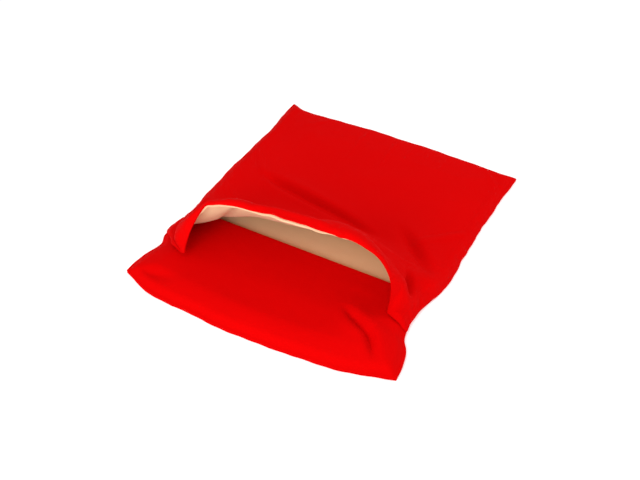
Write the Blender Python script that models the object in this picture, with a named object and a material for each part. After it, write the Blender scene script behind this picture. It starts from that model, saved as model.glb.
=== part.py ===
"""A microwave potato bag: a flat sewn pouch of padded red cloth with a cream lining.

It lies on its back panel with the mouth open. The front panel is arched up at its free
edge, the mouth, into a hump that fades out towards the back seam. The lower flap is folded
over the front edge and runs in under the front panel.

Metres, +Z up. X runs across the bag and +Y from the front edge to the back seam. The
origin is on the underside, in the middle of the bag.
"""

import math

import bmesh
import bpy
import numpy as np

# Outline
BAG_LENGTH = 0.2547
BAG_WIDTH = 0.2000

# Cloth, and the clearance between two pieces that lie on each other
CLOTH = 0.0010
LINING = 0.0012
CLEARANCE = 0.0003
LINING_REVEAL = 0.0010
SEAM_ROLL = 0.0070
FLAP_EASE = 0.0008

# Mouth, flap and hump
MOUTH_SETBACK = 0.0562
FLAP_DEPTH = 0.0885
LEFT_RISE = 0.0500
RIGHT_RISE = 0.0485
CREST_BOW = 0.0012
FOOT_ROOM = 0.0010
HUMP_REACH = 0.0740

# The front panel steps down to the lining behind the flap, after a delay and over a run
STEP_DELAY = 0.0060
STEP_RUN = 0.0200

# Number of cells of the sheets
PANEL_COLUMNS = 34
PANEL_ROWS = 24
FLAP_COLUMNS = 22
FLAP_ROWS = 9
BACK_COLUMNS = 14
BACK_ROWS = 20
SECTION_SAMPLES = 60

# Side seams: distance from the front as a share of the length, and the two seams' distance
# from the middle as shares of half the width
SIDE_SEAMS = [
    # along, left, right
    (0.00, 0.995, 0.985),
    (0.12, 0.974, 0.952),
    (0.155, 0.955, 0.926),
    (0.19, 0.942, 0.885),
    (0.225, 0.972, 0.868),
    (0.26, 0.974, 0.862),
    (0.31, 0.948, 0.872),
    (0.37, 0.950, 0.915),
    (0.45, 0.967, 0.946),
    (0.60, 0.978, 0.946),
    (0.82, 0.972, 0.967),
    (1.00, 1.000, 1.000),
]

# Front edge and back seam: share of half the width, and the distance from the foremost
# point as a share of the length
FRONT_EDGE = [
    # across, along
    (-1.00, 0.056),
    (-0.86, 0.030),
    (-0.77, 0.016),
    (-0.57, 0.010),
    (-0.05, 0.000),
    (0.22, 0.006),
    (0.43, 0.011),
    (0.61, 0.020),
    (0.77, 0.033),
    (1.00, 0.062),
]
BACK_SEAM = [
    # across, along
    (-1.00, 1.006),
    (-0.86, 0.987),
    (-0.70, 0.988),
    (-0.24, 1.000),
    (0.26, 1.000),
    (0.73, 0.992),
    (1.00, 0.989),
]

# Edge of the mouth: share of its length from the left seam, its distance from the front as
# a share of MOUTH_SETBACK, and how far the lining shows past it as a share of LINING_REVEAL
MOUTH_LINE = [
    # along, setback, reveal
    (0.00, 1.09, -1.0),
    (0.036, 0.91, -1.0),
    (0.075, 0.73, -1.0),
    (0.11, 0.66, -1.0),
    (0.16, 0.69, -0.6),
    (0.21, 0.76, 0.2),
    (0.28, 0.87, 0.8),
    (0.34, 0.88, 1.0),
    (0.49, 0.93, 1.0),
    (0.65, 1.02, 0.6),
    (0.73, 1.05, -0.3),
    (0.80, 1.09, -0.8),
    (0.86, 1.11, -0.6),
    (0.90, 1.09, -0.4),
    (0.95, 1.02, -0.4),
    (1.00, 0.97, -1.0),
]

# Sections of the hump: distance behind the mouth as a share of HUMP_REACH, the feet and
# shoulders of the two flanks as shares of half the width, the height as a share of the
# rise, and how much the flanks bulge, 1 being a plain slope
HUMP_SECTIONS = [
    # behind, foot_left, shoulder_left, shoulder_right, foot_right, height, bulge
    (0.00, -0.67, -0.26, 0.34, 0.71, 1.00, 4.0),
    (0.09, -0.80, -0.28, 0.36, 0.78, 0.93, 2.4),
    (0.27, -0.90, -0.29, 0.38, 0.84, 0.70, 1.5),
    (0.47, -0.89, -0.27, 0.37, 0.83, 0.44, 1.2),
    (0.67, -0.82, -0.24, 0.33, 0.77, 0.20, 1.1),
    (0.85, -0.70, -0.19, 0.27, 0.67, 0.06, 1.0),
    (1.00, -0.60, -0.14, 0.20, 0.56, 0.00, 1.0),
]

# Soft folds: middle of the fold as shares of half the width and of the length, its turn
# from the X axis in degrees, its half length and half width as shares of the length, and
# its height as a share of LEFT_RISE
PANEL_FOLDS = [
    # across, along, turn, half_length, half_width, height
    (-0.08, 0.560, -14, 0.150, 0.030, 0.045),
    (0.62, 0.440, -62, 0.090, 0.026, 0.060),
    (-0.76, 0.330, 66, 0.070, 0.024, 0.060),
]
FLAP_FOLDS = [
    # across, along, turn, half_length, half_width, height
    (0.72, 0.120, -72, 0.060, 0.018, 0.045),
    (-0.70, 0.110, 12, 0.060, 0.020, 0.030),
]

# Heights at which the sheets lie, from the floor up
BACK_LINING_BASE = CLOTH + CLEARANCE
FLAP_BASE = BACK_LINING_BASE + 2 * (LINING + CLEARANCE)
FRONT_BASE_OPEN = FLAP_BASE
FRONT_BASE_OVER_FLAP = FLAP_BASE + CLOTH + LINING + 2 * CLEARANCE + FLAP_EASE
SEAM_BASE_OPEN = CLOTH + CLEARANCE
SEAM_BASE_OVER_FLAP = SEAM_BASE_OPEN + CLOTH + CLEARANCE

HALF_WIDTH = BAG_WIDTH / 2
HALF_LENGTH = BAG_LENGTH / 2


def ease(share):
    """A smooth step from 0 to 1."""
    held = np.clip(share, 0.0, 1.0)
    return held * held * (3.0 - 2.0 * held)


def curve(places, values, at):
    """A curve through the values that doesn't overshoot them, read at some places."""
    places = np.asarray(places, dtype=float)
    values = np.asarray(values, dtype=float)
    at = np.clip(np.asarray(at, dtype=float), places[0], places[-1])
    steps = np.diff(places)
    rises = np.diff(values) / steps
    product = rises[:-1] * rises[1:]
    total = np.where(product > 0, rises[:-1] + rises[1:], 1.0)
    slopes = np.concatenate((rises[:1], np.where(product > 0, 2 * product / total, 0.0), rises[-1:]))
    cell = np.clip(np.searchsorted(places, at, side="right") - 1, 0, len(steps) - 1)
    share = (at - places[cell]) / steps[cell]
    blend = ease(share)
    start = slopes[cell] * steps[cell] * share * (1 - share) ** 2
    end = slopes[cell + 1] * steps[cell] * share**2 * (1 - share)
    return values[cell] * (1 - blend) + values[cell + 1] * blend + start - end


def column(table, number, at):
    """One column of a table, read at some places of its first column."""
    return curve([row[0] for row in table], [row[number] for row in table], at)


def left_seam(along_y):
    return -HALF_WIDTH * column(SIDE_SEAMS, 1, along_y / BAG_LENGTH)


def right_seam(along_y):
    return HALF_WIDTH * column(SIDE_SEAMS, 2, along_y / BAG_LENGTH)


def front_edge(across):
    return BAG_LENGTH * column(FRONT_EDGE, 1, across)


def back_edge(across):
    return BAG_LENGTH * column(BACK_SEAM, 1, across)


def places_with_rolls(length, cells, rolled_start, rolled_end):
    """Places along a length, where a rolled end has one cell of the roll's width."""
    start = SEAM_ROLL if rolled_start else 0.0
    end = length - (SEAM_ROLL if rolled_end else 0.0)
    inner = np.linspace(start, end, cells + 1 - int(rolled_start) - int(rolled_end))
    parts = [[0.0]] * int(rolled_start) + [inner] + [[length]] * int(rolled_end)
    return np.concatenate(parts)


def fold_height(folds, x, y):
    """Added height of all the folds of a table at plan positions from the front."""
    height = np.zeros_like(x)
    for across, along, turn, half_length, half_width, share in folds:
        angle = math.radians(turn)
        from_x = x - across * HALF_WIDTH
        from_y = y - along * BAG_LENGTH
        down = (from_x * math.cos(angle) + from_y * math.sin(angle)) / (half_length * BAG_LENGTH)
        over = (from_y * math.cos(angle) - from_x * math.sin(angle)) / (half_width * BAG_LENGTH)
        height += share * LEFT_RISE * np.exp(-(over**2) * 2.5) * ease(1 - np.abs(down))
    return height


def flank(foot, shoulder, height, bulge):
    """Points of one flank in the XZ plane, from its foot to its shoulder."""
    share = np.linspace(0.0, 1.0, SECTION_SAMPLES)
    return foot + (shoulder - foot) * share**bulge, height * ease(share)


def hump_section(behind, left, right):
    """The rise of the front panel across the bag at one distance behind the mouth."""
    foot_left, shoulder_left, shoulder_right, foot_right, height, bulge = (
        float(column(HUMP_SECTIONS, number, behind / HUMP_REACH)) for number in range(1, 7)
    )
    foot_left = max(foot_left * HALF_WIDTH, left + FOOT_ROOM)
    foot_right = min(foot_right * HALF_WIDTH, right - FOOT_ROOM)
    shoulder_left = shoulder_left * HALF_WIDTH
    shoulder_right = shoulder_right * HALF_WIDTH
    left_x, left_z = flank(foot_left, shoulder_left, LEFT_RISE * height, bulge)
    right_x, right_z = flank(foot_right, shoulder_right, RIGHT_RISE * height, bulge)
    share = np.linspace(0.0, 1.0, SECTION_SAMPLES)[1:-1]
    top_x = shoulder_left + (shoulder_right - shoulder_left) * share
    top_z = height * (LEFT_RISE + (RIGHT_RISE - LEFT_RISE) * share)
    top_z = top_z + height * CREST_BOW * np.sin(math.pi * share) ** 2
    x = np.concatenate(([left], left_x, top_x, right_x[::-1], [right]))
    z = np.concatenate(([0.0], left_z, top_z, right_z[::-1], [0.0]))
    return x, z


def along_section(x, z, cells):
    """Even steps along a section, with one cell of the seam's roll at each end."""
    lengths = np.concatenate(([0.0], np.cumsum(np.hypot(np.diff(x), np.diff(z)))))
    stops = places_with_rolls(lengths[-1], cells, True, True)
    return np.interp(stops, lengths, x), np.interp(stops, lengths, z), stops / lengths[-1]


def front_panel_points():
    """Underside of the front panel, rows from the mouth to the back seam."""
    run = BAG_LENGTH - MOUTH_SETBACK
    shares = places_with_rolls(run, PANEL_ROWS, False, True) / run
    warped = np.concatenate((shares[:-1] ** 1.25 * shares[-2] ** -0.25, [1.0]))
    rows = []
    for share in warped:
        ends = []
        for end in (0.0, 1.0):
            start_y = MOUTH_SETBACK * float(column(MOUTH_LINE, 1, end))
            ends.append(start_y + (float(back_edge(2 * end - 1)) - start_y) * share)
        left = float(left_seam(ends[0]))
        right = float(right_seam(ends[1]))
        x, rise = hump_section(run * share, left, right)
        x, rise, along = along_section(x, rise, PANEL_COLUMNS)
        across = x / HALF_WIDTH
        start_y = MOUTH_SETBACK * column(MOUTH_LINE, 1, along)
        y = start_y + (back_edge(across) - start_y) * share
        over_flap = 1 - ease((y - FLAP_DEPTH - STEP_DELAY) / STEP_RUN)
        lying = FRONT_BASE_OPEN + (FRONT_BASE_OVER_FLAP - FRONT_BASE_OPEN) * over_flap
        seam = SEAM_BASE_OPEN + (SEAM_BASE_OVER_FLAP - SEAM_BASE_OPEN) * over_flap
        inward = np.minimum(np.minimum(x - left, right - x), back_edge(across) - y)
        rolled = ease(inward / SEAM_ROLL)
        z = seam + (lying - seam) * rolled + rise
        z = z + fold_height(PANEL_FOLDS, x, y) * rolled
        rows.append(np.stack((x, y, z), axis=-1))
    return np.stack(rows)


def flat_points(columns, rows, end, base, seam_base, folds, rolled_end):
    """A sheet that lies flat, rows from the front edge to a distance from the front."""
    reach = (end if end is not None else BAG_LENGTH)
    shares = places_with_rolls(reach, rows, True, rolled_end) / reach
    grid = []
    for share in shares:
        sides = []
        for side in (-1.0, 1.0):
            corner_front = float(front_edge(side))
            corner_end = end if end is not None else float(back_edge(side))
            sides.append(corner_front + (corner_end - corner_front) * share)
        left = float(left_seam(sides[0]))
        right = float(right_seam(sides[1]))
        x = left + places_with_rolls(right - left, columns, True, True)
        across = (x - (left + right) / 2) / ((right - left) / 2)
        start_y = front_edge(across)
        end_y = np.full_like(x, end) if end is not None else back_edge(across)
        y = start_y + (end_y - start_y) * share
        inward = np.minimum(np.minimum(x - left, right - x), y - start_y)
        if rolled_end:
            inward = np.minimum(inward, end_y - y)
        rolled = ease(inward / SEAM_ROLL)
        z = seam_base + (base - seam_base) * rolled + fold_height(folds, x, y) * rolled
        grid.append(np.stack((x, y, z), axis=-1))
    return np.stack(grid)


def material(name, colour, roughness):
    made = bpy.data.materials.new(name)
    made.use_nodes = True
    shader = made.node_tree.nodes["Principled BSDF"]
    shader.inputs["Base Color"].default_value = (*colour, 1.0)
    shader.inputs["Roughness"].default_value = roughness
    return made


def lowered(points, depth):
    """A grid of points moved down along its own normals."""
    across = np.gradient(points, axis=1)
    along = np.gradient(points, axis=0)
    normals = np.cross(across, along)
    normals = normals / np.linalg.norm(normals, axis=-1, keepdims=True)
    return points - normals * depth


def sheet(name, points, thickness, finish, downwards=False):
    """A closed sheet that starts at a grid of points and is thickened up or down."""
    rows, columns = points.shape[:2]
    mesh_data = bmesh.new()
    bmesh.ops.create_grid(mesh_data, x_segments=columns - 1, y_segments=rows - 1, size=1.0)
    places = points.copy()
    places[..., 1] -= HALF_LENGTH
    for vertex in mesh_data.verts:
        number_x = round((vertex.co.x + 1) / 2 * (columns - 1))
        number_y = round((vertex.co.y + 1) / 2 * (rows - 1))
        vertex.co = places[number_y, number_x]
    bmesh.ops.triangulate(mesh_data, faces=mesh_data.faces, quad_method="FIXED")
    bmesh.ops.recalc_face_normals(mesh_data, faces=mesh_data.faces)
    if sum(face.normal.z * face.calc_area() for face in mesh_data.faces) < 0:
        bmesh.ops.reverse_faces(mesh_data, faces=mesh_data.faces)
    mesh = bpy.data.meshes.new(name)
    mesh_data.to_mesh(mesh)
    mesh_data.free()
    made = bpy.data.objects.new(name, mesh)
    bpy.context.scene.collection.objects.link(made)
    solid = made.modifiers.new("Thickness", "SOLIDIFY")
    solid.thickness = thickness
    solid.offset = -1.0 if downwards else 1.0
    solid.use_even_offset = True
    mesh.materials.append(finish)
    return made


def build():
    for old in list(bpy.data.objects):
        bpy.data.objects.remove(old, do_unlink=True)

    red = (0.66, 0.004, 0.006)
    cream = (0.84, 0.70, 0.50)

    back = flat_points(BACK_COLUMNS, BACK_ROWS, None, 0.0, 0.0, [], True)
    sheet("back_panel", back, CLOTH, material("back_panel_cloth", red, 0.8))
    lifted = back[1:-1, 1:-1].copy()
    lifted[..., 2] += BACK_LINING_BASE
    sheet("back_lining", lifted, LINING, material("back_lining_cloth", cream, 0.9))

    flap = flat_points(
        FLAP_COLUMNS, FLAP_ROWS, FLAP_DEPTH, FLAP_BASE, SEAM_BASE_OPEN, FLAP_FOLDS, False
    )
    sheet("lower_flap", flap, CLOTH, material("lower_flap_cloth", red, 0.8))
    under_flap = lowered(flap, CLEARANCE)[1:, 1:-1]
    sheet("flap_lining", under_flap, LINING, material("flap_lining_cloth", cream, 0.9), True)

    front = front_panel_points()
    sheet("front_panel", front, CLOTH, material("front_panel_cloth", red, 0.8))
    under_front = lowered(front, CLEARANCE)[:-1, 1:-1]
    forward = under_front[0] - under_front[1]
    forward = forward / np.linalg.norm(forward, axis=-1, keepdims=True)
    along = np.linspace(0.0, 1.0, front.shape[1])[1:-1, None]
    shown = LINING_REVEAL * column(MOUTH_LINE, 2, along)
    under_front[0] += forward * np.minimum(shown, 0.0)
    rim = under_front[:1] + forward * np.maximum(shown, CLEARANCE)
    under_front = np.concatenate((rim, under_front))
    sheet("front_lining", under_front, LINING, material("front_lining_cloth", cream, 0.9), True)


build()
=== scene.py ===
"""Looks of the potato bag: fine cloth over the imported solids, studio floor, lights, camera.

Metres, +Z up. X runs across the bag and +Y from the front edge to the back seam.
"""

import math

import bmesh
import bpy
import numpy as np
from mathutils import Matrix, Vector


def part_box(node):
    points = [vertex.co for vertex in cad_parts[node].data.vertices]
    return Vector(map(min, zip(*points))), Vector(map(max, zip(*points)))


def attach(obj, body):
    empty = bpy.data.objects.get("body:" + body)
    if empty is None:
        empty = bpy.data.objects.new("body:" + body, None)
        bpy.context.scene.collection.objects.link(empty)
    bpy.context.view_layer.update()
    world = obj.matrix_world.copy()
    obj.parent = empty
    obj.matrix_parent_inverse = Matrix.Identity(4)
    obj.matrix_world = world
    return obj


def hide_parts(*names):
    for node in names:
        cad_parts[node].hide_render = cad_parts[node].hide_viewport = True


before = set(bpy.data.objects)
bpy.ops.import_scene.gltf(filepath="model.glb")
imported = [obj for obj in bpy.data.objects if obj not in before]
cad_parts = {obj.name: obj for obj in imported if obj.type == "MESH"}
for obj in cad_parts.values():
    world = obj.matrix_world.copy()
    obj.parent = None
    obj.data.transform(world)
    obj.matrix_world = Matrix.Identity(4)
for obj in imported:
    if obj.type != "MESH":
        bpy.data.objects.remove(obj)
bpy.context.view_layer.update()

# Outline, taken from the back panel of the frame
PANEL_LOW, PANEL_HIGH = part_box("back_panel")
BACK_TIP = 1.006
BAG_WIDTH = PANEL_HIGH[0] - PANEL_LOW[0]
BAG_LENGTH = (PANEL_HIGH[1] - PANEL_LOW[1]) / BACK_TIP
FRONT_Y = PANEL_LOW[1]
HALF_WIDTH = BAG_WIDTH / 2

# Thickness of the cloth and of the lining, the clearance between two pieces that lie on each
# other, and how the sheets are rolled, lofted and set back at their edges
CLOTH = 0.0010
LINING = 0.0012
CLEARANCE = 0.0003
LINING_REVEAL = 0.0010
SEAM_ROLL = 0.0070
FLAP_EASE = 0.0008
PANEL_LOFT = 0.0022
FLAP_LOFT = 0.0034
LOFT_FADE = 0.0180
LINING_SETBACK = 0.0050

# Mouth, flap and hump
MOUTH_SETBACK = 0.0562
FLAP_DEPTH = 0.0885
LEFT_RISE = 0.0500
RIGHT_RISE = 0.0485
CREST_BOW = 0.0012
FOOT_ROOM = 0.0010
HUMP_REACH = 0.0740
STEP_DELAY = 0.0060
STEP_RUN = 0.0200

# Seam edge of the front panel: the run of its step behind the flap, and how far it is pressed
# down from its clearance, slightly into the piece below, where the real one is sewn
SEAM_STEP_RUN = 0.0050
SEAM_PRESS = 0.0005

# Loft and folds: how far in from an edge they reach their height, and where and how much the
# flap's loft sinks and then ends on the way in under the front panel
FLAP_LOFT_RUN = 0.0200
FLAP_FOLD_RUN = 0.0100
FLAP_SINK = 0.6
FLAP_SINK_START = 0.0400
FLAP_SINK_RUN = 0.0300
FLAP_FLAT_START = 0.0600
FLAP_FLAT_RUN = 0.0250
PANEL_LOFT_RUN = 0.0350

# Feet of the arch: how far the cloth may be lifted, or lie behind the mouth's edge, and still
# be pressed on the flap, and the share of the press that the left foot gets
FOOT_LIFT = 0.0050
FOOT_REACH = 0.0050
LEFT_FOOT_PRESS = 0.2

# The two round forms that the front panel drapes over while it settles: middle, half
# sizes, and turn about Z in degrees
FORMS = [
    # x, y, z, half_x, half_y, half_z, turn
    (-0.0292, -0.0898, 0.0328, 0.0335, 0.0281, 0.0291, -9),
    (0.0361, -0.0741, 0.0308, 0.0386, 0.0251, 0.0271, -16),
]

# Settling: the scale that it is worked at and its frames, the room above what lies below, the
# distance and friction at which the cloth is held off the forms, at that scale, how many rows
# of the panel make one of the table under it, and how firmly the row behind the mouth is held
SETTLE_SCALE = 10.0
SETTLE_FRAMES = 32
SETTLE_ROOM = 0.0006
SETTLE_GAP = 0.004
SETTLE_FRICTION = 12.0
SETTLE_TABLE_SPACING = 4
SECOND_ROW_HOLD = 0.35

# Number of cells of the sheets, the power that crowds the front panel's rows at the mouth, how
# many times finer it is made after it has settled, and how many rows of its lining are moved
# back at the feet
PANEL_COLUMNS = 96
PANEL_ROWS = 84
ROW_CROWDING = 1.15
FINER = 2
FLAP_COLUMNS = 150
FLAP_ROWS = 70
BACK_COLUMNS = 110
BACK_ROWS = 140
SECTION_SAMPLES = 90
LINING_TUCK_ROWS = 30

# Side seams: distance from the front as a share of the length, and the two seams' distance
# from the middle as shares of half the width
SIDE_SEAMS = [
    # along, left, right
    (0.00, 0.995, 0.985),
    (0.12, 0.974, 0.952),
    (0.155, 0.955, 0.926),
    (0.19, 0.942, 0.885),
    (0.225, 0.972, 0.868),
    (0.26, 0.974, 0.862),
    (0.31, 0.948, 0.872),
    (0.37, 0.950, 0.915),
    (0.45, 0.967, 0.946),
    (0.60, 0.978, 0.946),
    (0.82, 0.972, 0.967),
    (1.00, 1.000, 1.000),
]

# Front edge and back seam: share of half the width, and the distance from the foremost
# point as a share of the length
FRONT_EDGE = [
    # across, along
    (-1.00, 0.056),
    (-0.86, 0.030),
    (-0.77, 0.016),
    (-0.57, 0.010),
    (-0.05, 0.000),
    (0.22, 0.006),
    (0.43, 0.011),
    (0.61, 0.020),
    (0.77, 0.033),
    (1.00, 0.062),
]
BACK_SEAM = [
    # across, along
    (-1.00, BACK_TIP),
    (-0.86, 0.987),
    (-0.70, 0.988),
    (-0.24, 1.000),
    (0.26, 1.000),
    (0.73, 0.992),
    (1.00, 0.989),
]

# Edge of the mouth: share of its length from the left seam, its distance from the front as
# a share of MOUTH_SETBACK, and how far the lining shows past it as a share of LINING_REVEAL,
# or below 0, how far it stays behind it as a share of LINING_SETBACK
MOUTH_LINE = [
    # along, setback, reveal
    (0.000, 1.09, -1.0),
    (0.036, 0.91, -1.0),
    (0.075, 0.73, -1.0),
    (0.110, 0.66, -1.0),
    (0.160, 0.69, -0.9),
    (0.210, 0.76, -0.6),
    (0.255, 0.84, -0.2),
    (0.280, 0.87, 0.8),
    (0.340, 0.88, 1.0),
    (0.490, 0.93, 1.0),
    (0.650, 1.02, 0.8),
    (0.690, 1.04, 0.4),
    (0.730, 1.05, -0.4),
    (0.800, 1.09, -0.8),
    (0.860, 1.11, -0.9),
    (0.900, 1.09, -1.0),
    (0.950, 1.02, -1.0),
    (1.000, 0.97, -1.0),
]

# Sections of the hump: distance behind the mouth as a share of HUMP_REACH, the feet and
# shoulders of the two flanks as shares of half the width, the height as a share of the
# rise, and how much the flanks bulge, 1 being a plain slope
HUMP_SECTIONS = [
    # behind, foot_left, shoulder_left, shoulder_right, foot_right, height, bulge
    (0.00, -0.67, -0.26, 0.34, 0.71, 1.00, 4.0),
    (0.09, -0.80, -0.28, 0.36, 0.78, 0.93, 2.4),
    (0.27, -0.90, -0.29, 0.38, 0.84, 0.70, 1.5),
    (0.47, -0.89, -0.27, 0.37, 0.83, 0.44, 1.2),
    (0.67, -0.82, -0.24, 0.33, 0.77, 0.20, 1.1),
    (0.85, -0.70, -0.19, 0.27, 0.67, 0.06, 1.0),
    (1.00, -0.60, -0.14, 0.20, 0.56, 0.00, 1.0),
]

# Soft folds: middle of the fold as shares of half the width and of the length, its turn
# from the X axis in degrees, its half length and its widths ahead of and behind its middle
# as shares of the length, and its height as a share of LEFT_RISE, below 0 for a dent
PANEL_FOLDS = [
    # across, along, turn, half_length, ahead, behind, height
    (-0.270, 0.548, -12, 0.280, 0.055, 0.085, 0.062),
    (-0.290, 0.545, -12, 0.210, 0.026, 0.022, -0.170),
    (0.100, 0.515, -14, 0.140, 0.022, 0.020, -0.080),
    (0.660, 0.485, -45, 0.190, 0.070, 0.095, 0.075),
    (0.640, 0.485, -45, 0.140, 0.034, 0.034, -0.125),
    (0.765, 0.315, -65, 0.090, 0.040, 0.040, 0.030),
    (0.755, 0.322, -65, 0.060, 0.018, 0.016, -0.115),
    (0.150, 0.760, 24, 0.260, 0.070, 0.050, 0.010),
    (-0.480, 0.820, -32, 0.200, 0.050, 0.060, 0.010),
]
FLAP_FOLDS = [
    # across, along, turn, half_length, ahead, behind, height
    (0.660, 0.155, -38, 0.150, 0.070, 0.055, 0.050),
    (0.600, 0.158, -32, 0.085, 0.020, 0.024, -0.105),
    (0.722, 0.116, -54, 0.060, 0.018, 0.022, -0.095),
    (-0.770, 0.066, 4, 0.080, 0.026, 0.026, -0.035),
    (-0.100, 0.060, -3, 0.300, 0.050, 0.050, 0.010),
]
FOLD_SHARPNESS = 2.5

# Small peaks of the mouth's edge on the crest: place as a share of half the width, height as
# a share of LEFT_RISE, and half width as a share of half the width of the bag
RIM_KINKS = [
    # across, height, half_width
    (-0.575, 0.046, 0.036),
    (-0.100, 0.022, 0.045),
    (0.125, 0.014, 0.045),
    (0.295, 0.014, 0.040),
]
KINK_REACH = 0.0060

# Rolled crest: its height and where behind the mouth's edge it is highest, and how far the
# cloth is lifted where the roll and the peaks reach their full height
CREST_ROLL = 0.0032
CREST_ROLL_REACH = 0.0170
CREST_LIFT = 0.0200

# Irregular edge of the cloth: wavelength, height and start of each wave
EDGE_WAVES = [
    # length, height, start
    (0.0410, 0.00030, 0.4),
    (0.0150, 0.00014, 1.9),
]

# Rounding of a cut edge, as a share of the thickness, and the angle in degrees it starts from
EDGE_ROUNDING = 0.4
EDGE_ANGLE = 60

# Dye of each cloth and of its darker patches, the spacing and relief of its threads, and the
# roughness and gloss of both
RED_DYE = (0.66, 0.0, 0.0002)
RED_SHADE = (0.60, 0.0, 0.0002)
RED_THREAD = 0.00045
RED_RELIEF = 0.00006
CREAM_DYE = (0.80, 0.56, 0.34)
CREAM_SHADE = (0.74, 0.49, 0.28)
CREAM_THREAD = 0.00060
CREAM_RELIEF = 0.00009
CLOTH_ROUGHNESS = 0.9
CLOTH_GLOSS = 0.03
SHEEN_ROUGHNESS = 0.6

# Unevenness of the cloth: the scale of each noise, and how much it counts in the course of the
# threads, their relief, the soft relief of the padding and the dye
DRIFT_SCALE = 900.0
DRIFT_AMOUNT = 1.6
SLUB_SCALE = 260.0
SLUB_AMOUNT = 1.4
WEAVE_STRENGTH = 0.6
PADDING_SCALE = 45.0
PADDING_STRENGTH = 0.5
PADDING_RELIEF = 0.0012
DYE_SCALE = 14.0
DYE_AMOUNT = 0.9
DYE_LEAST = 0.1
THREAD_SHADE = 0.12

# Studio: the pale floor, the light from all round and the lamps
FLOOR_HALF_SIDE = 6.0
FLOOR_COLOUR = (0.93, 0.93, 0.93)
FLOOR_GLOW = 0.20
WHITE = (1.0, 1.0, 1.0)
SKY_STRENGTH = 0.75
LAMPS = [
    # name, place, watts, side
    ("top", (0.00, -0.28, 0.36), 0.25, 0.25),
    ("key", (0.34, 0.44, 0.50), 1.40, 0.25),
    ("front", (0.00, -0.58, 0.27), 1.9, 0.25),
]

# Camera
CAMERA_AZIMUTH = 23.46
CAMERA_ELEVATION = 40.506
CAMERA_ROLL = 4.568
CAMERA_DISTANCE = 0.63531
CAMERA_LENS = 50.403
SENSOR_WIDTH = 36.0
CAMERA_TARGET = (-0.001583, -0.017884, 0.0)

# Heights at which the sheets lie, from the floor up
BACK_LINING_BASE = CLOTH + CLEARANCE
FLAP_BASE = BACK_LINING_BASE + 2 * (LINING + CLEARANCE)
FRONT_BASE_OPEN = FLAP_BASE
FRONT_BASE_OVER_FLAP = FLAP_BASE + CLOTH + LINING + 2 * CLEARANCE + FLAP_EASE
SEAM_BASE_OPEN = CLOTH + CLEARANCE
SEAM_BASE_OVER_FLAP = SEAM_BASE_OPEN + CLOTH + CLEARANCE


def ease(share):
    """A smooth step from 0 to 1."""
    held = np.clip(share, 0.0, 1.0)
    return held * held * (3.0 - 2.0 * held)


def curve(places, values, at):
    """A curve through the values that doesn't overshoot them, read at some places."""
    places = np.asarray(places, dtype=float)
    values = np.asarray(values, dtype=float)
    at = np.clip(np.asarray(at, dtype=float), places[0], places[-1])
    steps = np.diff(places)
    rises = np.diff(values) / steps
    product = rises[:-1] * rises[1:]
    total = np.where(product > 0, rises[:-1] + rises[1:], 1.0)
    inner = np.where(product > 0, 2 * product / total, 0.0)
    slopes = np.concatenate((rises[:1], inner, rises[-1:]))
    cell = np.clip(np.searchsorted(places, at, side="right") - 1, 0, len(steps) - 1)
    share = (at - places[cell]) / steps[cell]
    blend = ease(share)
    start = slopes[cell] * steps[cell] * share * (1 - share) ** 2
    end = slopes[cell + 1] * steps[cell] * share**2 * (1 - share)
    return values[cell] * (1 - blend) + values[cell + 1] * blend + start - end


def column(table, number, at):
    """One column of a table, read at some places of its first column."""
    return curve([row[0] for row in table], [row[number] for row in table], at)


def edge_wave(place, shift=0.0):
    """Small irregular waves of a sewn edge, by the place along it."""
    return sum(
        height * np.sin(2 * math.pi * place / length + start + shift)
        for length, height, start in EDGE_WAVES
    )


def left_seam(along_y):
    """X of the left side seam at distances from the front."""
    return -HALF_WIDTH * column(SIDE_SEAMS, 1, along_y / BAG_LENGTH) + edge_wave(along_y)


def right_seam(along_y):
    """X of the right side seam at distances from the front."""
    return HALF_WIDTH * column(SIDE_SEAMS, 2, along_y / BAG_LENGTH) + edge_wave(along_y, 2.0)


def front_edge(across):
    """Distance from the front of the folded front edge, at shares of half the width."""
    return BAG_LENGTH * column(FRONT_EDGE, 1, across) + edge_wave(across * HALF_WIDTH, 1.0)


def back_edge(across):
    """Distance from the front of the back seam, at shares of half the width."""
    return BAG_LENGTH * column(BACK_SEAM, 1, across) + edge_wave(across * HALF_WIDTH, 4.0)


def fold_height(folds, x, y):
    """Added height of all the folds of a table at plan positions from the front."""
    height = np.zeros_like(x)
    for across, along, turn, half_length, ahead, behind, share in folds:
        angle = math.radians(turn)
        from_x = x - across * HALF_WIDTH
        from_y = y - along * BAG_LENGTH
        down = (from_x * math.cos(angle) + from_y * math.sin(angle)) / (half_length * BAG_LENGTH)
        over = (from_y * math.cos(angle) - from_x * math.sin(angle)) / BAG_LENGTH
        over = over / np.where(over > 0, behind, ahead)
        ridge = np.exp(-(over**2) * FOLD_SHARPNESS)
        height += share * LEFT_RISE * ridge * ease(1 - np.abs(down))
    return height


def flank(foot, shoulder, height, bulge):
    """Points of one flank in the XZ plane, from its foot to its shoulder."""
    share = np.linspace(0.0, 1.0, SECTION_SAMPLES)
    return foot + (shoulder - foot) * share**bulge, height * ease(share)


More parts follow.
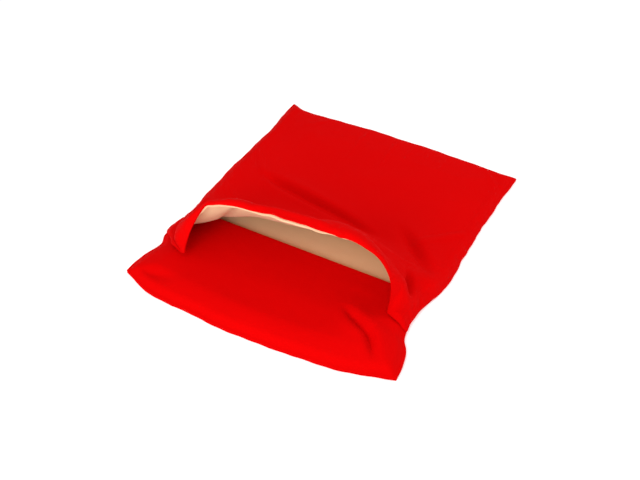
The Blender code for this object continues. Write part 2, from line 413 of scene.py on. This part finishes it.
def hump_section(behind, left, right):
    """The rise of the front panel across the bag at one distance behind the mouth."""
    foot_left, shoulder_left, shoulder_right, foot_right, height, bulge = (
        float(column(HUMP_SECTIONS, number, behind / HUMP_REACH)) for number in range(1, 7)
    )
    foot_left = max(foot_left * HALF_WIDTH, left + FOOT_ROOM)
    foot_right = min(foot_right * HALF_WIDTH, right - FOOT_ROOM)
    shoulder_left = shoulder_left * HALF_WIDTH
    shoulder_right = shoulder_right * HALF_WIDTH
    left_x, left_z = flank(foot_left, shoulder_left, LEFT_RISE * height, bulge)
    right_x, right_z = flank(foot_right, shoulder_right, RIGHT_RISE * height, bulge)
    share = np.linspace(0.0, 1.0, SECTION_SAMPLES)[1:-1]
    top_x = shoulder_left + (shoulder_right - shoulder_left) * share
    top_z = height * (LEFT_RISE + (RIGHT_RISE - LEFT_RISE) * share)
    top_z = top_z + height * CREST_BOW * np.sin(math.pi * share) ** 2
    x = np.concatenate(([left], left_x, top_x, right_x[::-1], [right]))
    z = np.concatenate(([0.0], left_z, top_z, right_z[::-1], [0.0]))
    return x, z


def flap_rise(x, y):
    """How far the lower flap stands above its base, from its loft and its folds."""
    inward = np.minimum(x - left_seam(y), right_seam(y) - x)
    inward = np.minimum(inward, y - front_edge(x / HALF_WIDTH))
    sunk = FLAP_SINK * ease((y - FLAP_SINK_START) / FLAP_SINK_RUN)
    loft = FLAP_LOFT * ease(inward / FLAP_LOFT_RUN) * (1 - sunk)
    folded = loft + fold_height(FLAP_FOLDS, x, y) * ease(inward / FLAP_FOLD_RUN)
    return np.maximum(folded, 0.0) * (1 - ease((y - FLAP_FLAT_START) / FLAP_FLAT_RUN))


def lying_height(x, y, loft=PANEL_LOFT):
    """Height of the front panel's underside off the hump, and how far it is off its seams.

    The second is 0 at a seam and 1 where the rolled edge ends.
    """
    over_flap = 1 - ease((y - FLAP_DEPTH - STEP_DELAY) / STEP_RUN)
    lying = FRONT_BASE_OPEN + (FRONT_BASE_OVER_FLAP - FRONT_BASE_OPEN) * over_flap
    seam_over_flap = 1 - ease((y - FLAP_DEPTH - CLEARANCE) / SEAM_STEP_RUN)
    seam = SEAM_BASE_OPEN + (SEAM_BASE_OVER_FLAP - SEAM_BASE_OPEN) * seam_over_flap
    seam = seam - SEAM_PRESS
    inward = np.minimum(x - left_seam(y), right_seam(y) - x)
    inward = np.minimum(inward, back_edge(x / HALF_WIDTH) - y)
    rolled = ease(inward / SEAM_ROLL)
    lying = lying + flap_rise(x, y) + loft * ease(inward / PANEL_LOFT_RUN)
    return seam + (lying - seam) * rolled, rolled


def front_panel_points():
    """Underside of the front panel, rows from the mouth to the back seam."""
    run = BAG_LENGTH - MOUTH_SETBACK
    rows = []
    for share in np.linspace(0.0, 1.0, PANEL_ROWS + 1) ** ROW_CROWDING:
        ends = []
        for end in (0.0, 1.0):
            start_y = MOUTH_SETBACK * float(column(MOUTH_LINE, 1, end))
            ends.append(start_y + (float(back_edge(2 * end - 1)) - start_y) * share)
        left = float(left_seam(ends[0]))
        right = float(right_seam(ends[1]))
        x, rise = hump_section(run * share, left, right)
        lengths = np.concatenate(([0.0], np.cumsum(np.hypot(np.diff(x), np.diff(rise)))))
        along = np.linspace(0.0, 1.0, PANEL_COLUMNS + 1)
        x, rise = (np.interp(along * lengths[-1], lengths, values) for values in (x, rise))
        across = x / HALF_WIDTH
        start_y = MOUTH_SETBACK * column(MOUTH_LINE, 1, along) + edge_wave(along * BAG_WIDTH, 5.0)
        y = start_y + (back_edge(across) - start_y) * share
        lowest = lying_height(x, y, 0.0)[0] - flap_rise(x, y)
        lying = lying_height(x, y)[0]
        z = lowest + rise + (lying - lowest) * (1 - ease(rise / LOFT_FADE))
        rows.append(np.stack((x, y, z), axis=-1))
    return np.stack(rows)


def flat_points(columns, rows, end, base, seam_base, rise_of):
    """A sheet that lies flat, rows from the front edge to an end.

    The end is a distance from the front, or None for the back seam, where the edge is rolled.
    """
    grid = []
    for share in np.linspace(0.0, 1.0, rows + 1):
        sides = []
        for side in (-1.0, 1.0):
            corner_front = float(front_edge(side))
            corner_end = end if end is not None else float(back_edge(side))
            sides.append(corner_front + (corner_end - corner_front) * share)
        left = float(left_seam(sides[0]))
        right = float(right_seam(sides[1]))
        x = np.linspace(left, right, columns + 1)
        across = (x - (left + right) / 2) / ((right - left) / 2)
        start_y = front_edge(across)
        end_y = np.full_like(x, end) if end is not None else back_edge(across)
        y = start_y + (end_y - start_y) * share
        inward = np.minimum(np.minimum(x - left, right - x), y - start_y)
        if end is None:
            inward = np.minimum(inward, end_y - y)
        rolled = ease(inward / SEAM_ROLL)
        z = seam_base + (base + rise_of(x, y) - seam_base) * rolled
        grid.append(np.stack((x, y, z), axis=-1))
    return np.stack(grid)


def normals_of(points):
    """Upward normals of a grid of points."""
    normals = np.cross(np.gradient(points, axis=1), np.gradient(points, axis=0))
    return normals / np.linalg.norm(normals, axis=-1, keepdims=True)


def lowered(points, depth):
    """A grid of points moved down along its own normals."""
    return points - normals_of(points) * depth


def bare_grid(name, columns, rows):
    """A square grid mesh, and the column and row that each of its vertices is in."""
    grid = bmesh.new()
    bmesh.ops.create_grid(grid, x_segments=columns - 1, y_segments=rows - 1, size=1.0)
    mesh = bpy.data.meshes.new(name)
    grid.to_mesh(mesh)
    grid.free()
    flat = np.empty(len(mesh.vertices) * 3)
    mesh.vertices.foreach_get("co", flat)
    flat = flat.reshape(-1, 3)
    number_x = np.rint((flat[:, 0] + 1) / 2 * (columns - 1)).astype(int)
    number_y = np.rint((flat[:, 1] + 1) / 2 * (rows - 1)).astype(int)
    return mesh, number_x, number_y


def settled(points):
    """The front panel after its cloth has settled over the forms, held at its edges."""
    rows, columns = points.shape[:2]
    mesh, number_x, number_y = bare_grid("settling_panel", columns, rows)
    start = points.copy()
    start[..., 1] += FRONT_Y
    mesh.vertices.foreach_set("co", (start[number_y, number_x] * SETTLE_SCALE).ravel())
    panel = bpy.data.objects.new("settling_panel", mesh)
    scene = bpy.context.scene
    scene.collection.objects.link(panel)
    held = panel.vertex_groups.new(name="held")
    inner = np.minimum(np.minimum(number_x, columns - 1 - number_x), rows - 1 - number_y)
    edge = (inner < 1) | (number_y == 0)
    for share, near in ((1.0, edge), (SECOND_ROW_HOLD, number_y == 1)):
        held.add([int(v) for v in np.nonzero(near)[0]], share, "REPLACE")

    forms = []
    for x, y, z, half_x, half_y, half_z, turn in FORMS:
        form = bmesh.new()
        bmesh.ops.create_icosphere(form, subdivisions=4, radius=1.0)
        bmesh.ops.scale(form, vec=(half_x, half_y, half_z), verts=form.verts)
        spin = Matrix.Rotation(math.radians(turn), 3, "Z")
        bmesh.ops.rotate(form, cent=(0, 0, 0), matrix=spin, verts=form.verts)
        bmesh.ops.translate(form, vec=(x, y, z), verts=form.verts)
        bmesh.ops.scale(form, vec=(SETTLE_SCALE,) * 3, verts=form.verts)
        forms.append(form)
    under = start.copy()
    under[..., 0] = np.linspace(start[:, 0, 0], start[:, -1, 0], columns, axis=1)
    under[..., 2] = lying_height(under[..., 0], points[..., 1])[0] - SETTLE_ROOM
    under = under[::SETTLE_TABLE_SPACING, ::SETTLE_TABLE_SPACING]
    table, table_x, table_y = bare_grid("settling_table", under.shape[1], under.shape[0])
    table.vertices.foreach_set("co", (under[table_y, table_x] * SETTLE_SCALE).ravel())
    shapes = [table]
    for form in forms:
        shapes.append(bpy.data.meshes.new("settling_form"))
        form.to_mesh(shapes[-1])
        form.free()
    helpers = []
    for shape in shapes:
        helper = bpy.data.objects.new("settling_form", shape)
        scene.collection.objects.link(helper)
        helper.modifiers.new("Collision", "COLLISION")
        helper.collision.thickness_outer = SETTLE_GAP
        helper.collision.cloth_friction = SETTLE_FRICTION
        helpers.append(helper)

    cloth = panel.modifiers.new("Cloth", "CLOTH")
    cloth.settings.quality = 8
    cloth.settings.mass = 0.25
    cloth.settings.air_damping = 3.0
    cloth.settings.tension_stiffness = 40.0
    cloth.settings.compression_stiffness = 40.0
    cloth.settings.shear_stiffness = 12.0
    cloth.settings.bending_stiffness = 8.0
    cloth.settings.vertex_group_mass = "held"
    cloth.settings.shrink_min = -0.008
    cloth.collision_settings.distance_min = SETTLE_GAP
    cloth.collision_settings.collision_quality = 3
    cloth.collision_settings.use_self_collision = False
    cloth.point_cache.frame_start = 1
    cloth.point_cache.frame_end = SETTLE_FRAMES
    for number in range(1, SETTLE_FRAMES + 1):
        scene.frame_set(number)
    done = panel.evaluated_get(bpy.context.evaluated_depsgraph_get())
    flat = np.empty(len(done.data.vertices) * 3)
    done.data.vertices.foreach_get("co", flat)
    result = np.empty_like(points)
    result[number_y, number_x] = flat.reshape(-1, 3) / SETTLE_SCALE
    result[..., 1] -= FRONT_Y
    for helper in helpers + [panel]:
        bpy.data.objects.remove(helper, do_unlink=True)
    scene.frame_set(1)
    return result


def finer_grid(points, times):
    """A grid of points with smooth new points between its own."""
    for axis in (0, 1):
        count = points.shape[axis]
        at = np.linspace(0, count - 1, (count - 1) * times + 1)
        cell = np.minimum(at.astype(int), count - 2)
        share = (at - cell).reshape((-1, 1, 1) if axis == 0 else (1, -1, 1))
        near = [np.take(points, np.clip(cell + k, 0, count - 1), axis=axis) for k in (-1, 0, 1, 2)]
        before, first, second, after = near
        points = first + 0.5 * share * (
            second
            - before
            + share * (2 * before - 5 * first + 4 * second - after)
            + share**2 * (3 * (first - second) + after - before)
        )
    return points


def inset_columns(points, distance):
    """How many columns of a grid lie in a distance from its sides."""
    width = points[-1, -1, 0] - points[-1, 0, 0]
    return int(math.ceil(distance / width * (points.shape[1] - 1)))


def inset_rows(points, distance):
    """How many rows of a grid lie in a distance from its end, and one more."""
    steps = np.linalg.norm(np.diff(points[:, points.shape[1] // 2], axis=0), axis=-1)
    return int(np.searchsorted(np.cumsum(steps[::-1]), distance)) + 1


def finished_panel(points):
    """The settled front panel with its folds, its crest rolled and its feet pressed down."""
    x, y = points[..., 0], points[..., 1]
    lying, rolled = lying_height(x, y)
    lowest, _ = lying_height(x, y, 0.0)
    lifted = np.maximum(points[..., 2] - lying, 0.0)
    folds = (fold_height(PANEL_FOLDS, x, y) * rolled)[..., None]
    along = np.linspace(0.0, 1.0, points.shape[1])
    covered = np.clip(-column(MOUTH_LINE, 2, along), 0.0, 1.0)
    steps = np.linalg.norm(np.diff(points, axis=0), axis=-1).mean(1)
    reach = np.concatenate(([0.0], steps.cumsum()))
    pressed = covered * (1 - ease(lifted / FOOT_LIFT)) * (1 - ease(reach / FOOT_REACH))[:, None]
    pressed = pressed * (LINING + CLEARANCE + FLAP_EASE) * rolled
    pressed = pressed * np.where(x < 0, LEFT_FOOT_PRESS, 1.0)
    result = points + normals_of(points) * folds
    result[..., 2] = np.maximum(result[..., 2], lowest) - pressed
    for place, height, half_width in RIM_KINKS:
        near = np.exp(-(((x - place * HALF_WIDTH) / (half_width * HALF_WIDTH)) ** 2))
        kink = height * LEFT_RISE * near * np.exp(-((reach / KINK_REACH) ** 2))[:, None]
        result[..., 2] += kink * ease(lifted / CREST_LIFT)
    roll = CREST_ROLL * (reach / CREST_ROLL_REACH) * np.exp(1 - reach / CREST_ROLL_REACH)
    result[..., 2] += roll[:, None] * ease(lifted / CREST_LIFT)
    return result


def tucked_lining(points):
    """The lining under the front panel: past its edge on the crest, behind it at the feet."""
    side = inset_columns(points, SEAM_ROLL)
    end = inset_rows(points, SEAM_ROLL)
    under = lowered(points, CLEARANCE)[:-end, side:-side]
    forward = under[0] - under[1]
    forward = forward / np.linalg.norm(forward, axis=-1, keepdims=True)
    shown = column(MOUTH_LINE, 2, np.linspace(0.0, 1.0, points.shape[1])[side:-side, None])
    near = under[:LINING_TUCK_ROWS].copy()
    for number in range(near.shape[1]):
        steps = np.linalg.norm(np.diff(near[:, number], axis=0), axis=-1)
        reach = np.concatenate(([0.0], steps.cumsum()))
        hidden = LINING_SETBACK * max(-float(shown[number, 0]), 0.0)
        at = hidden + reach * (1 - hidden / reach[-1])
        for axis in range(3):
            moved = np.interp(at, reach, near[:, number, axis])
            under[:LINING_TUCK_ROWS, number, axis] = moved
    rim = under[:1] + forward * np.maximum(LINING_REVEAL * shown, CLEARANCE)
    return np.concatenate((rim, under))


def sheet(name, points, thickness, finish, downwards=False):
    """A sheet of cloth on a grid of points, with rounded edges and its threads' own map."""
    rows, columns = points.shape[:2]
    mesh, number_x, number_y = bare_grid(name, columns, rows)
    places = points.copy()
    places[..., 1] += FRONT_Y
    mesh.vertices.foreach_set("co", places[number_y, number_x].ravel())

    across = np.linalg.norm(np.diff(points, axis=1), axis=-1).cumsum(axis=1)
    across = np.pad(across, ((0, 0), (1, 0)))
    across = across - across[:, -1:] / 2
    along = np.linalg.norm(np.diff(points, axis=0), axis=-1).cumsum(axis=0)
    along = np.pad(along, ((1, 0), (0, 0)))
    along = along - along[-1:]
    threads = mesh.uv_layers.new(name="Threads")
    corner = np.empty(len(mesh.loops), dtype=int)
    mesh.loops.foreach_get("vertex_index", corner)
    lengths = np.stack((across[number_y, number_x], along[number_y, number_x]), axis=-1)
    threads.data.foreach_set("uv", lengths[corner].ravel())

    mesh.polygons.foreach_set("use_smooth", np.ones(len(mesh.polygons), dtype=bool))
    mesh.materials.append(finish)
    mesh.update()
    piece = bpy.data.objects.new(name, mesh)
    bpy.context.scene.collection.objects.link(piece)
    solid = piece.modifiers.new("Thickness", "SOLIDIFY")
    solid.thickness = thickness
    solid.offset = -1.0 if downwards else 1.0
    rounding = piece.modifiers.new("Rounded edges", "BEVEL")
    rounding.width = thickness * EDGE_ROUNDING
    rounding.segments = 2
    rounding.limit_method = "ANGLE"
    rounding.angle_limit = math.radians(EDGE_ANGLE)
    return piece


def shader_of(name, colour, roughness):
    """A new cloth material with its node tree and its shader."""
    finish = bpy.data.materials.new(name)
    finish.use_nodes = True
    tree = finish.node_tree
    shader = tree.nodes["Principled BSDF"]
    shader.inputs["Base Color"].default_value = (*colour, 1.0)
    shader.inputs["Roughness"].default_value = roughness
    return finish, tree, shader


def math_node(tree, kind, first, second=None):
    """The result of a Math node on one or two numbers or outputs."""
    made = tree.nodes.new("ShaderNodeMath")
    made.operation = kind
    for socket, value in zip(made.inputs, (first, second)):
        if hasattr(value, "is_output"):
            tree.links.new(value, socket)
        elif value is not None:
            socket.default_value = value
    return made.outputs[0]


def noise_node(tree, vector, scale, detail, roughness=0.5):
    """The value of a Noise Texture at the places that a vector gives."""
    made = tree.nodes.new("ShaderNodeTexNoise")
    made.inputs["Scale"].default_value = scale
    made.inputs["Detail"].default_value = detail
    made.inputs["Roughness"].default_value = roughness
    tree.links.new(vector, made.inputs["Vector"])
    return made.outputs["Fac"]


def woven_cloth(name, colour, shade, thread, relief, sheen, sheen_colour):
    """Plain weave: threads that pass over and under, with uneven dye and soft slubs."""
    finish, tree, shader = shader_of(name, colour, CLOTH_ROUGHNESS)
    shader.inputs["Specular IOR Level"].default_value = CLOTH_GLOSS
    shader.inputs["Sheen Weight"].default_value = sheen
    shader.inputs["Sheen Roughness"].default_value = SHEEN_ROUGHNESS
    shader.inputs["Sheen Tint"].default_value = (*sheen_colour, 1.0)
    threads = tree.nodes.new("ShaderNodeUVMap")
    threads.uv_map = "Threads"
    split = tree.nodes.new("ShaderNodeSeparateXYZ")
    tree.links.new(threads.outputs["UV"], split.inputs[0])
    place = tree.nodes.new("ShaderNodeTexCoord").outputs["Object"]

    drift = noise_node(tree, threads.outputs["UV"], DRIFT_SCALE, detail=1.0)
    drift = math_node(tree, "MULTIPLY", drift, DRIFT_AMOUNT)
    waves = []
    for number in (0, 1):
        turned = math_node(tree, "MULTIPLY", split.outputs[number], math.pi / thread)
        waves.append(math_node(tree, "SINE", math_node(tree, "ADD", turned, drift)))
    over_under = math_node(tree, "MULTIPLY", waves[0], waves[1])
    slub = noise_node(tree, threads.outputs["UV"], SLUB_SCALE, detail=3.0)
    slub = math_node(tree, "MULTIPLY", slub, SLUB_AMOUNT)
    height = math_node(tree, "ADD", over_under, slub)
    raised = tree.nodes.new("ShaderNodeBump")
    raised.inputs["Strength"].default_value = WEAVE_STRENGTH
    raised.inputs["Distance"].default_value = relief
    tree.links.new(height, raised.inputs["Height"])
    soft = tree.nodes.new("ShaderNodeBump")
    soft.inputs["Strength"].default_value = PADDING_STRENGTH
    soft.inputs["Distance"].default_value = PADDING_RELIEF
    padding = noise_node(tree, place, PADDING_SCALE, detail=3.0, roughness=0.45)
    tree.links.new(padding, soft.inputs["Height"])
    tree.links.new(raised.outputs["Normal"], soft.inputs["Normal"])
    tree.links.new(soft.outputs["Normal"], shader.inputs["Normal"])

    uneven = noise_node(tree, place, DYE_SCALE, detail=4.0)
    dye = tree.nodes.new("ShaderNodeMix")
    dye.data_type = "RGBA"
    dye.inputs["A"].default_value = (*shade, 1.0)
    dye.inputs["B"].default_value = (*colour, 1.0)
    patches = math_node(tree, "MULTIPLY", uneven, DYE_AMOUNT)
    patches = math_node(tree, "ADD", patches, DYE_LEAST)
    grain = math_node(tree, "MULTIPLY", over_under, THREAD_SHADE)
    tree.links.new(math_node(tree, "ADD", patches, grain), dye.inputs["Factor"])
    tree.links.new(dye.outputs["Result"], shader.inputs["Base Color"])
    return finish


def declare(piece, node):
    """Attach a sheet to the root body, and hide the frame's node that it takes the place of."""
    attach(piece, "root")
    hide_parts(node)


def make_bag():
    """The six sheets, from the floor up, each attached to the root body in place of its node."""
    red = woven_cloth(
        "red woven cotton", RED_DYE, RED_SHADE, RED_THREAD, RED_RELIEF,
        sheen=0.06, sheen_colour=(1.0, 0.0, 0.0),
    )
    cream = woven_cloth(
        "cream padded lining", CREAM_DYE, CREAM_SHADE, CREAM_THREAD, CREAM_RELIEF,
        sheen=0.10, sheen_colour=(1.0, 0.9, 0.75),
    )

    back = flat_points(BACK_COLUMNS, BACK_ROWS, None, 0.0, 0.0, lambda x, y: 0.0)
    back_panel = sheet("back_panel_cloth", back, CLOTH, red)
    side = inset_columns(back, SEAM_ROLL)
    end = inset_rows(back, SEAM_ROLL)
    lifted = back[end:-end, side:-side].copy()
    lifted[..., 2] += BACK_LINING_BASE
    back_lining = sheet("back_lining_cloth", lifted, LINING, cream)

    flap = flat_points(FLAP_COLUMNS, FLAP_ROWS, FLAP_DEPTH, FLAP_BASE, SEAM_BASE_OPEN, flap_rise)
    lower_flap = sheet("lower_flap_cloth", flap, CLOTH, red)
    side = inset_columns(flap, SEAM_ROLL)
    end = inset_rows(flap, SEAM_ROLL)
    under_flap = lowered(flap, CLEARANCE)[end:, side:-side]
    flap_lining = sheet("flap_lining_cloth", under_flap, LINING, cream, downwards=True)

    front = front_panel_points()
    edges = front.copy()
    front = settled(front)
    lying, _ = lying_height(front[..., 0], front[..., 1])
    front[..., 2] = np.maximum(front[..., 2], lying)
    front[:, 0], front[:, -1], front[-1] = edges[:, 0], edges[:, -1], edges[-1]
    front = finished_panel(finer_grid(front, FINER))
    front_panel = sheet("front_panel_cloth", front, CLOTH, red)
    under_front = tucked_lining(front)
    front_lining = sheet("front_lining_cloth", under_front, LINING, cream, downwards=True)

    declare(back_panel, "back_panel")
    declare(back_lining, "back_lining")
    declare(flap_lining, "flap_lining")
    declare(lower_flap, "lower_flap")
    declare(front_lining, "front_lining")
    declare(front_panel, "front_panel")


def make_studio():
    """The pale floor, the even light from all round and the soft lamps."""
    floor_mesh = bmesh.new()
    bmesh.ops.create_grid(floor_mesh, x_segments=1, y_segments=1, size=FLOOR_HALF_SIDE)
    mesh = bpy.data.meshes.new("studio_floor")
    floor_mesh.to_mesh(mesh)
    floor_mesh.free()
    finish = bpy.data.materials.new("studio floor")
    finish.use_nodes = True
    paper = finish.node_tree.nodes["Principled BSDF"]
    paper.inputs["Base Color"].default_value = (*FLOOR_COLOUR, 1.0)
    paper.inputs["Roughness"].default_value = 0.9
    paper.inputs["Specular IOR Level"].default_value = 0.1
    paper.inputs["Emission Color"].default_value = (*WHITE, 1.0)
    paper.inputs["Emission Strength"].default_value = FLOOR_GLOW
    mesh.materials.append(finish)
    floor = bpy.data.objects.new("studio_floor", mesh)
    bpy.context.scene.collection.objects.link(floor)

    world = bpy.data.worlds.new("studio")
    world.use_nodes = True
    sky = world.node_tree.nodes["Background"]
    sky.inputs["Color"].default_value = (*WHITE, 1.0)
    sky.inputs["Strength"].default_value = SKY_STRENGTH
    bpy.context.scene.world = world

    for name, place, watts, side in LAMPS:
        light = bpy.data.lights.new(name, "AREA")
        light.energy = watts
        light.size = side
        lamp = bpy.data.objects.new(name, light)
        lamp.location = place
        lamp.rotation_euler = (-Vector(place)).to_track_quat("-Z", "Y").to_euler()
        bpy.context.scene.collection.objects.link(lamp)


def make_camera():
    """The camera at the photograph's viewing angle."""
    azimuth = math.radians(CAMERA_AZIMUTH)
    elevation = math.radians(CAMERA_ELEVATION)
    back = Vector(
        (
            math.sin(azimuth) * math.cos(elevation),
            -math.cos(azimuth) * math.cos(elevation),
            math.sin(elevation),
        )
    )
    level = (-back).cross(Vector((0, 0, 1))).normalized()
    roll = Matrix.Rotation(math.radians(CAMERA_ROLL), 3, back)
    right = roll @ level
    up = back.cross(right)
    data = bpy.data.cameras.new("photo_view")
    data.lens = CAMERA_LENS
    data.sensor_width = SENSOR_WIDTH
    camera = bpy.data.objects.new("photo_view", data)
    turn = Matrix((right, up, back)).transposed().to_4x4()
    place = Vector(CAMERA_TARGET) + back * CAMERA_DISTANCE
    camera.matrix_world = Matrix.Translation(place) @ turn
    bpy.context.scene.collection.objects.link(camera)
    bpy.context.scene.camera = camera
    bpy.context.scene.view_settings.view_transform = "Standard"


make_bag()
make_studio()
make_camera()
